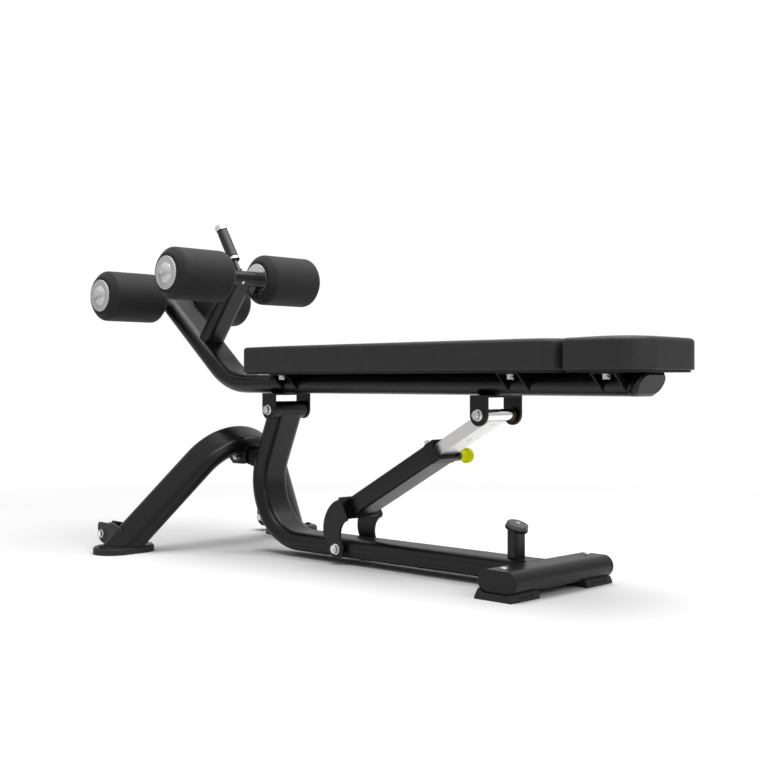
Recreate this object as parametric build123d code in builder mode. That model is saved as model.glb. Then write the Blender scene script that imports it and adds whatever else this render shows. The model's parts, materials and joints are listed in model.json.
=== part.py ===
from build123d import *
from math import cos, radians, sin
import os

# Adjustable abdominal / decline bench with roller leg hold-down.
# Millimetres, +Z up, +X towards the head end, floor at Z = 0.
# Every X below is measured from the bench hinge and shifted by PIVOT_X on use.

# ---- driving dimensions ----
PIVOT_X = -291.5
PIVOT_Z = 372.0
STRUT_X = 697.5
STRUT_Z = 371.5
STRUT_ANGLE = 28.8
YOKE_X = 252.0
YOKE_Z = 38.5

TUBE_W = 100.0
TUBE_H = 48.0
WALL = 3.0
BASE_Z = 38.5
BEAM_Z = 439.0
BEAM_END = 1075.0
CAP_T = 14.0

BASE_BEND_X = 80.0
BASE_BEND_R = 148.0
BASE_LEAN = 23.0
STUB_SIZE = 44.0
CROSS_X = 838.0
CROSS_HALF = 170.0
FOOT_SCREW_X = 835.5
FOOT_SCREW_Y = 147.0

POST_X = 753.0
POST_TOP = 124.0
POST_SLANT = 20.0

LEG_FOOT_X = -308.5
LEG_FOOT_Y = 292.0
LEG_APEX_X = -176.0
LEG_APEX_Z = 290.3
LEG_BEND_R = 155.6
LEG_W = 96.0
LEG_H = 46.0
LEG_SLOPE = 55.0
PLATE_L = 167.0
PLATE_W = 104.0
PAD_THICK = 13.0
PLATE_THICK = 6.0

BRACKET_X = -165.0
BRACKET_Z = 242.0

WHEEL_X = -402.0
WHEEL_Y = 276.0
WHEEL_Z = 41.0
WHEEL_R = 27.0
WHEEL_T = 34.0

LUG_R = 24.0
LUG_IN = 56.0
LUG_T = 6.0
PIN_R = 6.0
RUN_GAP = 0.05

ARM_BEND_X = -198.7
ARM_BEND_R = 190.0
UPPER_X = -187.0
UPPER_Z = 724.5
LOWER_X = -490.0
LOWER_Z = 680.0
MAST_X = -315.0
MAST_Z = 561.6
AXLE_R = 16.5
CROSS_TUBE_R = 21.0
CROSS_TUBE_HALF = 53.3
FOAM_R = 68.5
FOAM_IN = 57.0
FOAM_OUT = 246.0
FOAM_BEVEL = 17.0
DISC_R = 43.3
DOME_R = 27.0
DOME_H = 12.0
SCREW_HEAD_R = 6.0

HANDLE_X = -218.0
HANDLE_Z = 780.6
HANDLE_LEAN = 58.0
GRIP_LEN = 92.0
GRIP_R = 15.0

BOARD_Z = 463.2
BOARD_T = 4.8
PAD_TOP = 531.0
PAD_HALF = 125.0
MAIN_X0 = -29.5
MAIN_X1 = 946.0
HEAD_X0 = 956.0
HEAD_X1 = 1141.5
MAIN_CORNERS = (12.0, 32.0)
HEAD_CORNERS = (18.0, 66.0)
PAD_EDGE_R = 8.0
BOARD_INSET = 6.0
SUPPORT_X = (68.0, 796.0, 1034.0)
FLANGE_HALF = 29.3
SUPPORT_HALF = 92.0
SUPPORT_T = 3.0
PAD_BOLT_Y = 74.0

BAR_W = 60.0
BAR_H = 28.0
BAR_END = 330.0
MOUTH = 168.0
YOKE_FACE = 485.5
OUTER_W = 80.0
OUTER_H = 46.0
POP_AT = 188.0
POP_DROP = 11.0
KNOB_Y = 61.0
KNOB_NECK = 23.0
CLAMP_AT = 190.0
CLAMP_Y = -28.0

AXIS = (cos(radians(STRUT_ANGLE)), sin(radians(STRUT_ANGLE)))
SIDES = (-1, 1)

os.makedirs("parts", exist_ok=True)


# ---- placement helpers ----
def side(x=0.0, z=0.0, y=0.0):
    """Plane facing -Y: local x runs along +X, local y runs up."""
    return Plane(origin=(PIVOT_X + x, y, z), x_dir=(1, 0, 0), z_dir=(0, -1, 0))


def level(z, x=0.0, y=0.0):
    """Horizontal plane facing up."""
    return Plane(origin=(PIVOT_X + x, y, z), x_dir=(1, 0, 0), z_dir=(0, 0, 1))


def strut_side(along=0.0, rise=0.0, y=0.0):
    """Plane facing -Y, local x along the strut from the yoke to the upper pivot."""
    x = PIVOT_X + STRUT_X - along * AXIS[0] - rise * AXIS[1]
    z = STRUT_Z - along * AXIS[1] + rise * AXIS[0]
    return Plane(origin=(x, y, z), x_dir=(AXIS[0], 0, AXIS[1]), z_dir=(0, -1, 0))


def strut_section(along):
    """Plane across the strut: local x along Y, normal towards the upper pivot."""
    here = strut_side(along)
    return Plane(origin=here.origin, x_dir=(0, 1, 0), z_dir=here.x_dir)


def save(name, label):
    name.part.label = label
    export_step(name.part, "parts/" + label + ".step")


def oval(width=TUBE_W, height=TUBE_H, wall=WALL):
    """Flat-oval tube section in the current sketch."""
    SlotOverall(width, height)
    SlotOverall(width - 2 * wall, height - 2 * wall, mode=Mode.SUBTRACT)


def cross_bolt(x, z, half, radius=PIN_R, head=9.5, washer=13.0):
    """Hex bolt along Y with two washers and a nut, gripping +-half."""
    with BuildPart() as bolt:
        with BuildSketch(side(x, z)):
            Circle(radius)
        extrude(amount=half + 13, both=True)
        for s in SIDES:
            with BuildSketch(Plane(origin=(PIVOT_X + x, s * half, z), x_dir=(1, 0, 0), z_dir=(0, s, 0))):
                Circle(washer)
            extrude(amount=2.5)
            with BuildSketch(Plane(origin=(PIVOT_X + x, s * (half + 2.5), z), x_dir=(1, 0, 0), z_dir=(0, s, 0))):
                RegularPolygon(head, 6, major_radius=False)
            extrude(amount=8)
    return bolt


# =====================================================================
# BASE
# =====================================================================

# ---- envelopes used to cope the welded tubes ----
with BuildPart() as crossbeam_envelope:
    with BuildSketch(side(CROSS_X, BASE_Z)):
        SlotOverall(TUBE_W, TUBE_H)
    extrude(amount=CROSS_HALF + 20, both=True)

with BuildPart() as sleeve_envelope:
    with BuildSketch(side(0, PIVOT_Z)):
        Circle(22)
    extrude(amount=60, both=True)

# ---- base tube: leaning post, swept bend and long floor rail in one piece ----
bend_z = BASE_Z + BASE_BEND_R
lean_x = sin(radians(BASE_LEAN))
lean_z = cos(radians(BASE_LEAN))
tangent_x = BASE_BEND_X - BASE_BEND_R * lean_z
tangent_z = bend_z + BASE_BEND_R * lean_x
post_top_x = tangent_x + (PIVOT_Z - tangent_z) * lean_x / lean_z

with BuildLine(side()) as base_path:
    Line((post_top_x, PIVOT_Z), (tangent_x, tangent_z))
    RadiusArc((tangent_x, tangent_z), (BASE_BEND_X, BASE_Z), -BASE_BEND_R)
    Line((BASE_BEND_X, BASE_Z), (CROSS_X, BASE_Z))

with BuildPart() as base_tube:
    with BuildSketch(Plane(origin=base_path.line @ 0, x_dir=(0, 1, 0), z_dir=base_path.line % 0)):
        oval()
    sweep(path=base_path.line)
    # the yoke pivot bolt passes through a clearance window in the rail
    with BuildSketch(side(YOKE_X - 2.5, YOKE_Z + 4)):
        RectangleRounded(20, 23, 6)
    extrude(amount=TUBE_W, both=True, mode=Mode.SUBTRACT)
    add(crossbeam_envelope.part, mode=Mode.SUBTRACT)
    add(sleeve_envelope.part, mode=Mode.SUBTRACT)
save(base_tube, "base_tube")

with BuildPart() as post_envelope:
    with BuildLine(side()) as post_path:
        Line((post_top_x, PIVOT_Z), (tangent_x, tangent_z))
        RadiusArc((tangent_x, tangent_z), (BASE_BEND_X, BASE_Z), -BASE_BEND_R)
    with BuildSketch(Plane(origin=post_path.line @ 0, x_dir=(0, 1, 0), z_dir=post_path.line % 0)):
        SlotOverall(TUBE_W, TUBE_H)
    sweep(path=post_path.line)

# ---- bench hinge sleeve and its two flanged bushes ----
with BuildPart() as pivot_sleeve:
    with BuildSketch(side(0, PIVOT_Z)):
        Circle(22)
        Circle(10, mode=Mode.SUBTRACT)
    extrude(amount=LUG_IN - 3, both=True)
save(pivot_sleeve, "pivot_sleeve")

with BuildPart() as pivot_bushes:
    for s in SIDES:
        with BuildSketch(Plane(origin=(PIVOT_X, s * (LUG_IN - 0.5), PIVOT_Z), x_dir=(1, 0, 0), z_dir=(0, -s, 0))):
            Circle(20)
            Circle(PIN_R + RUN_GAP, mode=Mode.SUBTRACT)
        extrude(amount=2.5)
        with BuildSketch(Plane(origin=(PIVOT_X, s * (LUG_IN - 3), PIVOT_Z), x_dir=(1, 0, 0), z_dir=(0, -s, 0))):
            Circle(10)
            Circle(PIN_R + RUN_GAP, mode=Mode.SUBTRACT)
        extrude(amount=22)
save(pivot_bushes, "pivot_bushes")

# ---- front crossbeam, end caps, feet and their screws ----
with BuildPart() as front_crossbeam:
    with BuildSketch(side(CROSS_X, BASE_Z)):
        oval()
    extrude(amount=CROSS_HALF, both=True)
    with Locations(*[(PIVOT_X + FOOT_SCREW_X, s * FOOT_SCREW_Y, BASE_Z) for s in SIDES]):
        Hole(4.3, 2 * TUBE_H)
save(front_crossbeam, "front_crossbeam")

with BuildPart() as crossbeam_end_caps:
    for s in SIDES:
        with BuildSketch(Plane(origin=(PIVOT_X + CROSS_X, s * CROSS_HALF, BASE_Z), x_dir=(1, 0, 0), z_dir=(0, s, 0))):
            SlotOverall(TUBE_W, TUBE_H)
        extrude(amount=6)
        with BuildSketch(Plane(origin=(PIVOT_X + CROSS_X, s * CROSS_HALF, BASE_Z), x_dir=(1, 0, 0), z_dir=(0, -s, 0))):
            SlotOverall(TUBE_W - 2 * WALL, TUBE_H - 2 * WALL)
        extrude(amount=14)
    outer_faces = crossbeam_end_caps.faces().filter_by(Axis.Y)
    fillet(outer_faces.sort_by(Axis.Y)[0].edges(), 4)
    fillet(crossbeam_end_caps.faces().filter_by(Axis.Y).sort_by(Axis.Y)[-1].edges(), 4)
save(crossbeam_end_caps, "crossbeam_end_caps")

with BuildPart() as front_feet:
    for s in SIDES:
        with BuildSketch(side(CROSS_X - 6, 0, s * 132)):
            with BuildLine():
                Polyline((-48, 0), (48, 0), (48, 5), (37, 26), (-37, 26), (-48, 5), close=True)
            make_face()
        extrude(amount=48, both=True)
        # shallow panel on the outward face
        with BuildSketch(Plane(origin=(PIVOT_X + CROSS_X + 42, s * 132, 11), x_dir=(0, 1, 0), z_dir=(1, 0, 0))):
            SlotOverall(56, 8)
        extrude(amount=-4, mode=Mode.SUBTRACT)
    add(crossbeam_envelope.part, mode=Mode.SUBTRACT)
    with Locations(*[(PIVOT_X + FOOT_SCREW_X, s * FOOT_SCREW_Y, 9.5) for s in SIDES]):
        Cylinder(4.3, 12, mode=Mode.SUBTRACT)
save(front_feet, "front_feet")

with BuildPart() as front_foot_screws:
    with Locations(*[(PIVOT_X + FOOT_SCREW_X, s * FOOT_SCREW_Y, BASE_Z + TUBE_H / 2 + 2) for s in SIDES]):
        Cylinder(8, 4)
    with Locations(*[(PIVOT_X + FOOT_SCREW_X, s * FOOT_SCREW_Y, 36) for s in SIDES]):
        Cylinder(4, 60)
    top_faces = front_foot_screws.faces().filter_by(Axis.Z).group_by(Axis.Z)[-1]
    fillet(top_faces.edges(), 2)
    with Locations(*[(PIVOT_X + FOOT_SCREW_X, s * FOOT_SCREW_Y, BASE_Z + TUBE_H / 2 + 4) for s in SIDES]):
        Cylinder(2.6, 4, mode=Mode.SUBTRACT)
save(front_foot_screws, "front_foot_screws")

# ---- bench stop post with slanted cap ----
slant_plane = Plane(
    origin=(PIVOT_X + POST_X, 0, POST_TOP),
    x_dir=(cos(radians(POST_SLANT)), 0, -sin(radians(POST_SLANT))),
    z_dir=(sin(radians(POST_SLANT)), 0, cos(radians(POST_SLANT))),
)
with BuildPart() as stop_post:
    with BuildSketch(level(BASE_Z + TUBE_H / 2, POST_X)):
        RectangleRounded(30, 37, 10)
        RectangleRounded(24, 31, 7, mode=Mode.SUBTRACT)
    extrude(amount=90)
    split(bisect_by=slant_plane, keep=Keep.BOTTOM)
    with BuildSketch(slant_plane):
        Ellipse(25, 27)
        Circle(3.2, mode=Mode.SUBTRACT)
    extrude(amount=4)
save(stop_post, "stop_post")

with BuildPart() as stop_post_cap:
    with BuildSketch(slant_plane.offset(4)):
        Ellipse(24, 26)
    extrude(amount=10, taper=6)
    fillet(stop_post_cap.faces().sort_by(Axis.Z)[-1].edges(), 2)
    with BuildSketch(slant_plane.offset(14)):
        Circle(3.2)
    extrude(amount=-14, mode=Mode.SUBTRACT)
save(stop_post_cap, "stop_post_cap")

with BuildPart() as stop_cap_screw:
    with BuildSketch(slant_plane.offset(14)):
        Circle(5)
    extrude(amount=1.6)
    with BuildSketch(slant_plane.offset(14)):
        Circle(3)
    extrude(amount=-22)
save(stop_cap_screw, "stop_cap_screw")

# ---- rear leg arch: leaning plane, splayed both ways ----
lean = Vector(LEG_APEX_X - LEG_FOOT_X, 0, LEG_APEX_Z - PAD_THICK - PLATE_THICK).normalized()
arch_height = (LEG_APEX_Z - PAD_THICK - PLATE_THICK) / lean.Z
arch_plane = Plane(
    origin=(PIVOT_X + LEG_APEX_X, 0, LEG_APEX_Z), x_dir=(0, 1, 0), z_dir=(lean.Z, 0, -lean.X)
)
swing_y = LEG_BEND_R * sin(radians(LEG_SLOPE))
swing_z = LEG_BEND_R * (1 - cos(radians(LEG_SLOPE)))
foot_drop = swing_z + (LEG_FOOT_Y - swing_y) * sin(radians(LEG_SLOPE)) / cos(radians(LEG_SLOPE))
reach = 60.0

with BuildLine(arch_plane) as arch_path:
    Line(
        (-LEG_FOOT_Y - reach * cos(radians(LEG_SLOPE)), -foot_drop - reach * sin(radians(LEG_SLOPE))),
        (-swing_y, -swing_z),
    )
    RadiusArc((-swing_y, -swing_z), (swing_y, -swing_z), LEG_BEND_R)
    Line(
        (swing_y, -swing_z),
        (LEG_FOOT_Y + reach * cos(radians(LEG_SLOPE)), -foot_drop - reach * sin(radians(LEG_SLOPE))),
    )
with BuildPart() as arch_envelope:
    with BuildSketch(Plane(origin=arch_path.line @ 0, x_dir=arch_plane.z_dir, z_dir=arch_path.line % 0)):
        SlotOverall(LEG_W, LEG_H)
    sweep(path=arch_path.line)
with BuildPart() as rear_leg_arch:
    with BuildSketch(Plane(origin=arch_path.line @ 0, x_dir=arch_plane.z_dir, z_dir=arch_path.line % 0)):
        oval(LEG_W, LEG_H)
    sweep(path=arch_path.line)
    split(bisect_by=level(PAD_THICK + PLATE_THICK), keep=Keep.TOP)
save(rear_leg_arch, "rear_leg_arch")

foot_spots = [(PIVOT_X + LEG_FOOT_X, s * LEG_FOOT_Y) for s in SIDES]
screw_spots = [(x, y + t * 66) for x, y in foot_spots for t in SIDES]

with BuildPart() as rear_foot_plates:
    with BuildSketch(Plane.XY.offset(PAD_THICK)):
        with Locations(*foot_spots):
            SlotOverall(PLATE_L - 8, PLATE_W - 8, rotation=90)
        with Locations(*screw_spots):
            Circle(4.3, mode=Mode.SUBTRACT)
    extrude(amount=PLATE_THICK)
save(rear_foot_plates, "rear_foot_plates")

with BuildPart() as rear_foot_pads:
    with BuildSketch():
        with Locations(*foot_spots):
            SlotOverall(PLATE_L, PLATE_W, rotation=90)
    extrude(amount=PAD_THICK + 3)
    chamfer(rear_foot_pads.faces().filter_by(Axis.Z).group_by(Axis.Z)[-1].edges(), 2)
    with BuildSketch(Plane.XY.offset(PAD_THICK)):
        with Locations(*foot_spots):
            SlotOverall(PLATE_L - 8, PLATE_W - 8, rotation=90)
    extrude(amount=5, mode=Mode.SUBTRACT)
    with BuildSketch(Plane.XY.offset(PAD_THICK)):
        with Locations(*screw_spots):
            Circle(4.3)
    extrude(amount=-9, mode=Mode.SUBTRACT)
save(rear_foot_pads, "rear_foot_pads")

with BuildPart() as rear_foot_screws:
    with BuildSketch(Plane.XY.offset(PAD_THICK + PLATE_THICK)):
        with Locations(*screw_spots):
            Circle(7.5)
    extrude(amount=4.5)
    fillet(rear_foot_screws.faces().filter_by(Axis.Z).group_by(Axis.Z)[-1].edges(), 2)
    with BuildSketch(Plane.XY.offset(PAD_THICK + PLATE_THICK)):
        with Locations(*screw_spots):
            Circle(4)
    extrude(amount=-13)
save(rear_foot_screws, "rear_foot_screws")

# ---- bolted joint between the arch and the leaning post ----
with BuildPart() as leg_bracket:
    for s in SIDES:
        with BuildSketch(side(BRACKET_X, BRACKET_Z, s * (STUB_SIZE / 2 + 3.5))):
            with BuildLine():
                Polyline((-40, 45), (-40, 0), (-20, -17), (26, -17), (32, -10), (32, 45), close=True)
            make_face()
        extrude(amount=2.5, both=True)
    add(arch_envelope.part, mode=Mode.SUBTRACT)
    with BuildSketch(side(BRACKET_X, BRACKET_Z)):
        Circle(5.2)
    extrude(amount=STUB_SIZE, both=True, mode=Mode.SUBTRACT)
leg_bracket.part = Part() + leg_bracket.solids().sort_by(Axis.Z)[:2]
save(leg_bracket, "leg_bracket")

with BuildPart() as post_stub:
    with BuildSketch(side()):
        with BuildLine():
            Polyline(
                (BRACKET_X - 14, BRACKET_Z + 24), (BRACKET_X - 14, BRACKET_Z - 15), (BRACKET_X + 28, BRACKET_Z - 15),
                (tangent_x + 12, BRACKET_Z - 38), (tangent_x + 12, BRACKET_Z + 8), (BRACKET_X + 28, BRACKET_Z + 24),
                close=True,
            )
        make_face()
    extrude(amount=STUB_SIZE / 2, both=True)
    add(arch_envelope.part, mode=Mode.SUBTRACT)
    add(post_envelope.part, mode=Mode.SUBTRACT)
    with BuildSketch(side(BRACKET_X, BRACKET_Z)):
        Circle(5.2)
    extrude(amount=STUB_SIZE, both=True, mode=Mode.SUBTRACT)
save(post_stub, "post_stub")

save(cross_bolt(BRACKET_X, BRACKET_Z, STUB_SIZE / 2 + 6, 5, 7, 8), "leg_bracket_bolt")

# ---- transport wheels: brackets, axle bolts and the wheels themselves ----
with BuildPart() as wheel_brackets:
    for s in SIDES:
        for t in SIDES:
            with BuildSketch(side(WHEEL_X, WHEEL_Z, s * WHEEL_Y + t * (WHEEL_T / 2 + 3.5))):
                with BuildLine():
                    Polyline((-18, -2), (-18, 24), (-12, 30), (58, 28), (94, 20), (94, -2), (30, -10), (12, -14), close=True)
                make_face()
            extrude(amount=2.5, both=True)
    add(arch_envelope.part, mode=Mode.SUBTRACT)
    with BuildSketch(level(0, LEG_FOOT_X)):
        Rectangle(PLATE_W, 800)
    extrude(amount=PAD_THICK + PLATE_THICK, mode=Mode.SUBTRACT)
    with BuildSketch(side(WHEEL_X, WHEEL_Z)):
        Circle(5)
    extrude(amount=400, both=True, mode=Mode.SUBTRACT)
save(wheel_brackets, "wheel_brackets")

for s, label in ((-1, "right"), (1, "left")):
    wheel_side = Plane(origin=(PIVOT_X + WHEEL_X, s * WHEEL_Y, WHEEL_Z), x_dir=(1, 0, 0), z_dir=(0, -1, 0))
    with BuildPart() as wheel:
        with BuildSketch(wheel_side):
            Circle(WHEEL_R)
        extrude(amount=WHEEL_T / 2, both=True)
        fillet(wheel.faces().filter_by(Axis.Y).edges(), 3)
        with BuildSketch(wheel_side):
            Circle(5 + RUN_GAP)
        extrude(amount=WHEEL_T, both=True, mode=Mode.SUBTRACT)
    save(wheel, "wheel_" + label)

with BuildPart() as wheel_axle_bolts:
    for s in SIDES:
        wheel_side = Plane(origin=(PIVOT_X + WHEEL_X, s * WHEEL_Y, WHEEL_Z), x_dir=(1, 0, 0), z_dir=(0, -1, 0))
        with BuildSketch(wheel_side):
            Circle(5)
        extrude(amount=WHEEL_T / 2 + 14, both=True)
        for t in SIDES:
            with BuildSketch(wheel_side.offset(t * (WHEEL_T / 2 + 6))):
                Circle(11)
            extrude(amount=t * 2)
            with BuildSketch(wheel_side.offset(t * (WHEEL_T / 2 + 8))):
                RegularPolygon(8.5, 6, major_radius=False)
            extrude(amount=t * 7)
save(wheel_axle_bolts, "wheel_axle_bolts")


# =====================================================================
# BENCH
# =====================================================================

arm_rise = (LOWER_Z - BEAM_Z) / (ARM_BEND_X - LOWER_X)
arm_len = (1 + arm_rise**2) ** 0.5
arm_dir = (-1 / arm_len, arm_rise / arm_len)
turn = ARM_BEND_R * arm_rise / (1 + arm_len)
arm_start = (ARM_BEND_X + turn * arm_dir[0], BEAM_Z + turn * arm_dir[1])

with BuildLine(side()) as beam_path:
    Line((BEAM_END + 60, BEAM_Z), (ARM_BEND_X + turn, BEAM_Z))
    RadiusArc((ARM_BEND_X + turn, BEAM_Z), arm_start, ARM_BEND_R)
    Line(arm_start, (LOWER_X - 4 * arm_dir[0], LOWER_Z - 4 * arm_dir[1]))

beam_end_plane = Plane(origin=(PIVOT_X + BEAM_END, 0, BEAM_Z), x_dir=(0, 1, 0), z_dir=(0.874, 0, -0.486))

with BuildPart() as lower_tube_envelope:
    with BuildSketch(side(LOWER_X, LOWER_Z)):
        Circle(CROSS_TUBE_R)
    extrude(amount=100, both=True)

with BuildPart() as upper_tube_envelope:
    with BuildSketch(side(UPPER_X, UPPER_Z)):
        Circle(CROSS_TUBE_R)
    extrude(amount=100, both=True)

with BuildPart() as beam_envelope:
    with BuildSketch(Plane(origin=beam_path.line @ 0, x_dir=(0, 1, 0), z_dir=beam_path.line % 0)):
        SlotOverall(TUBE_W, TUBE_H)
    sweep(path=beam_path.line)

with BuildPart() as bench_beam:
    with BuildSketch(Plane(origin=beam_path.line @ 0, x_dir=(0, 1, 0), z_dir=beam_path.line % 0)):
        oval()
    sweep(path=beam_path.line)
    split(bisect_by=beam_end_plane, keep=Keep.BOTTOM)
    add(lower_tube_envelope.part, mode=Mode.SUBTRACT)
save(bench_beam, "bench_beam")

with BuildPart() as beam_end_cap:
    with BuildSketch(Plane(origin=(PIVOT_X + BEAM_END - 60, 0, BEAM_Z), x_dir=(0, 1, 0), z_dir=(1, 0, 0))):
        SlotOverall(TUBE_W, TUBE_H)
    extrude(amount=160)
    split(bisect_by=beam_end_plane, keep=Keep.TOP)
    split(bisect_by=beam_end_plane.offset(CAP_T), keep=Keep.BOTTOM)
    chamfer(beam_end_cap.faces().sort_by(Axis.X)[-1].edges(), 6)
    with BuildSketch(Plane(origin=(PIVOT_X + BEAM_END - 30, 0, BEAM_Z), x_dir=(0, 1, 0), z_dir=(1, 0, 0))):
        SlotOverall(TUBE_W - 2 * WALL - 1, TUBE_H - 2 * WALL - 1)
    extrude(amount=32)
save(beam_end_cap, "beam_end_cap")

# ---- U brackets under the beam: bench hinge and strut clevis ----
for x, z, label in ((0.0, PIVOT_Z, "hinge_bracket"), (STRUT_X, STRUT_Z, "strut_bracket")):
    top = BEAM_Z - TUBE_H / 2 - z
    with BuildPart() as bracket:
        with BuildSketch(side(x, z)):
            with BuildLine():
                Line((-LUG_R, 0), (-LUG_R, top))
                Line((-LUG_R, top), (LUG_R, top))
                Line((LUG_R, top), (LUG_R, 0))
                RadiusArc((LUG_R, 0), (-LUG_R, 0), LUG_R)
            make_face()
        extrude(amount=LUG_IN + LUG_T, both=True)
        with BuildSketch(Plane(origin=(PIVOT_X + x, 0, z - 30), x_dir=(1, 0, 0), z_dir=(0, 0, 1))):
            Rectangle(80, 2 * LUG_IN)
        extrude(amount=30 + top - 5, mode=Mode.SUBTRACT)
        with BuildSketch(side(x, z)):
            Circle(PIN_R)
        extrude(amount=LUG_IN + 20, both=True, mode=Mode.SUBTRACT)
    save(bracket, label)

save(cross_bolt(0.0, PIVOT_Z, LUG_IN + LUG_T), "hinge_bolt")
save(cross_bolt(STRUT_X, STRUT_Z, LUG_IN + LUG_T), "strut_bolt")

# ---- roller mast and the two cross tubes ----
mast_run = (UPPER_X - MAST_X, UPPER_Z - MAST_Z)
mast_len = (mast_run[0] ** 2 + mast_run[1] ** 2) ** 0.5
mast_dir = (mast_run[0] / mast_len, mast_run[1] / mast_len)
mast_foot = (MAST_X - 60 * mast_dir[0], MAST_Z - 60 * mast_dir[1])
with BuildPart() as roller_mast:
    with BuildSketch(
        Plane(origin=side(*mast_foot).origin, x_dir=(0, 1, 0), z_dir=(mast_dir[0], 0, mast_dir[1]))
    ):
        oval(76, 40)
    extrude(amount=mast_len + 60)
    add(beam_envelope.part, mode=Mode.SUBTRACT)
    add(upper_tube_envelope.part, mode=Mode.SUBTRACT)
    add(lower_tube_envelope.part, mode=Mode.SUBTRACT)
roller_mast.part = Part() + roller_mast.solids().sort_by(Axis.Z)[-1]
save(roller_mast, "roller_mast")

def screw_face(x, z, out):
    """Plane on the front lower side of a cross tube, normal along the set screw."""
    return Plane(
        origin=(PIVOT_X + x + out * cos(radians(35)), -6.5, z - out * sin(radians(35))),
        x_dir=(0, 1, 0),
        z_dir=(cos(radians(35)), 0, -sin(radians(35))),
    )


for x, z, label in ((UPPER_X, UPPER_Z, "upper"), (LOWER_X, LOWER_Z, "lower")):
    with BuildPart() as cross_tube:
        with BuildSketch(side(x, z)):
            Circle(CROSS_TUBE_R)
            Circle(AXLE_R + 0.2, mode=Mode.SUBTRACT)
        extrude(amount=CROSS_TUBE_HALF, both=True)
        with BuildSketch(screw_face(x, z, 8)):
            Circle(4)
        extrude(amount=20, mode=Mode.SUBTRACT)
    save(cross_tube, label + "_cross_tube")
    with BuildPart() as axle:
        with BuildSketch(side(x, z)):
            Circle(AXLE_R)
            Circle(AXLE_R - 3, mode=Mode.SUBTRACT)
        extrude(amount=FOAM_OUT, both=True)
    save(axle, label + "_roller_axle")

roller_axes = ((UPPER_X, UPPER_Z), (LOWER_X, LOWER_Z))
with BuildPart() as axle_set_screws:
    for x, z in roller_axes:
        with BuildSketch(screw_face(x, z, AXLE_R + 0.2)):
            Circle(4)
        extrude(amount=6.5)
        with BuildSketch(screw_face(x, z, AXLE_R + 6.7)):
            RegularPolygon(2.5, 6)
        extrude(amount=-3, mode=Mode.SUBTRACT)
save(axle_set_screws, "axle_set_screws")

# ---- roller end discs: outer domed caps with screws, plain inner discs ----
with BuildPart() as roller_end_caps:
    for x, z in roller_axes:
        for s in SIDES:
            face = Plane(origin=(PIVOT_X + x, s * FOAM_OUT, z), x_dir=(1, 0, 0), z_dir=(0, s, 0))
            profile_plane = Plane(origin=face.origin, x_dir=(1, 0, 0), z_dir=(0, 0, s))
            with BuildSketch(profile_plane):
                with BuildLine():
                    Polyline((0, 3 + DOME_H), (0, 0), (DISC_R, 0), (DISC_R, 2), (DISC_R - 1, 3), (DOME_R, 3))
                    ThreePointArc((DOME_R, 3), (DOME_R * 0.62, 3 + DOME_H * 0.7), (0, 3 + DOME_H))
                make_face()
            revolve(axis=Axis((PIVOT_X + x, 0, z), (0, 1, 0)))
            with BuildSketch(face):
                Circle(AXLE_R - 3.2)
            extrude(amount=-14)
            with BuildSketch(face.offset(3 + DOME_H + 1)):
                Circle(SCREW_HEAD_R + 0.2)
            extrude(amount=-4, mode=Mode.SUBTRACT)
            with BuildSketch(face.offset(3 + DOME_H)):
                Circle(4.3)
            extrude(amount=-29, mode=Mode.SUBTRACT)
save(roller_end_caps, "roller_end_caps")

with BuildPart() as roller_cap_screws:
    for x, z in roller_axes:
        for s in SIDES:
            face = Plane(origin=(PIVOT_X + x, s * (FOAM_OUT + DOME_H), z), x_dir=(1, 0, 0), z_dir=(0, s, 0))
            with BuildSketch(face):
                Circle(SCREW_HEAD_R)
            extrude(amount=3.5)
            with BuildSketch(face):
                Circle(4)
            extrude(amount=-24)
            with BuildSketch(face.offset(3.5)):
                RegularPolygon(2.9, 6)
            extrude(amount=-2.5, mode=Mode.SUBTRACT)
save(roller_cap_screws, "roller_cap_screws")

with BuildPart() as roller_inner_discs:
    for x, z in roller_axes:
        for s in SIDES:
            with BuildSketch(Plane(origin=(PIVOT_X + x, s * (FOAM_IN - 0.5), z), x_dir=(1, 0, 0), z_dir=(0, -s, 0))):
                Circle(DISC_R)
                Circle(AXLE_R + 0.2, mode=Mode.SUBTRACT)
            extrude(amount=3)
save(roller_inner_discs, "roller_inner_discs")

# ---- foam rollers turning on the axles ----
for x, z, level_name in ((UPPER_X, UPPER_Z, "upper"), (LOWER_X, LOWER_Z, "lower")):
    for s, hand in ((-1, "right"), (1, "left")):
        mid = s * (FOAM_IN + FOAM_OUT) / 2
        half = (FOAM_OUT - FOAM_IN) / 2 - 0.5
        with BuildPart() as roller:
            with BuildSketch(side(x, z, mid)):
                Circle(FOAM_R)
            extrude(amount=half, both=True)
            chamfer(roller.faces().filter_by(Axis.Y).edges(), FOAM_BEVEL)
            with BuildSketch(side(x, z, mid)):
                Circle(AXLE_R + RUN_GAP)
            extrude(amount=half + 1, both=True, mode=Mode.SUBTRACT)
        save(roller, "roller_" + level_name + "_" + hand)

# ---- grab handle leaning back from the upper cross tube ----
handle_dir = (-cos(radians(HANDLE_LEAN)), 0, sin(radians(HANDLE_LEAN)))
grip_plane = Plane(origin=(PIVOT_X + HANDLE_X, 0, HANDLE_Z), x_dir=(0, 1, 0), z_dir=handle_dir)
with BuildPart() as handle_rod:
    with BuildSketch(grip_plane.offset(-44)):
        Circle(7)
    extrude(amount=44 + GRIP_LEN)
    with BuildSketch(Plane(origin=grip_plane.offset(-34).origin, x_dir=(1, 0, 0), z_dir=(0, 0, 1))):
        Rectangle(14, 18)
    extrude(amount=-24)
    add(upper_tube_envelope.part, mode=Mode.SUBTRACT)
    add(roller_mast.part, mode=Mode.SUBTRACT)
save(handle_rod, "handle_rod")

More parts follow.
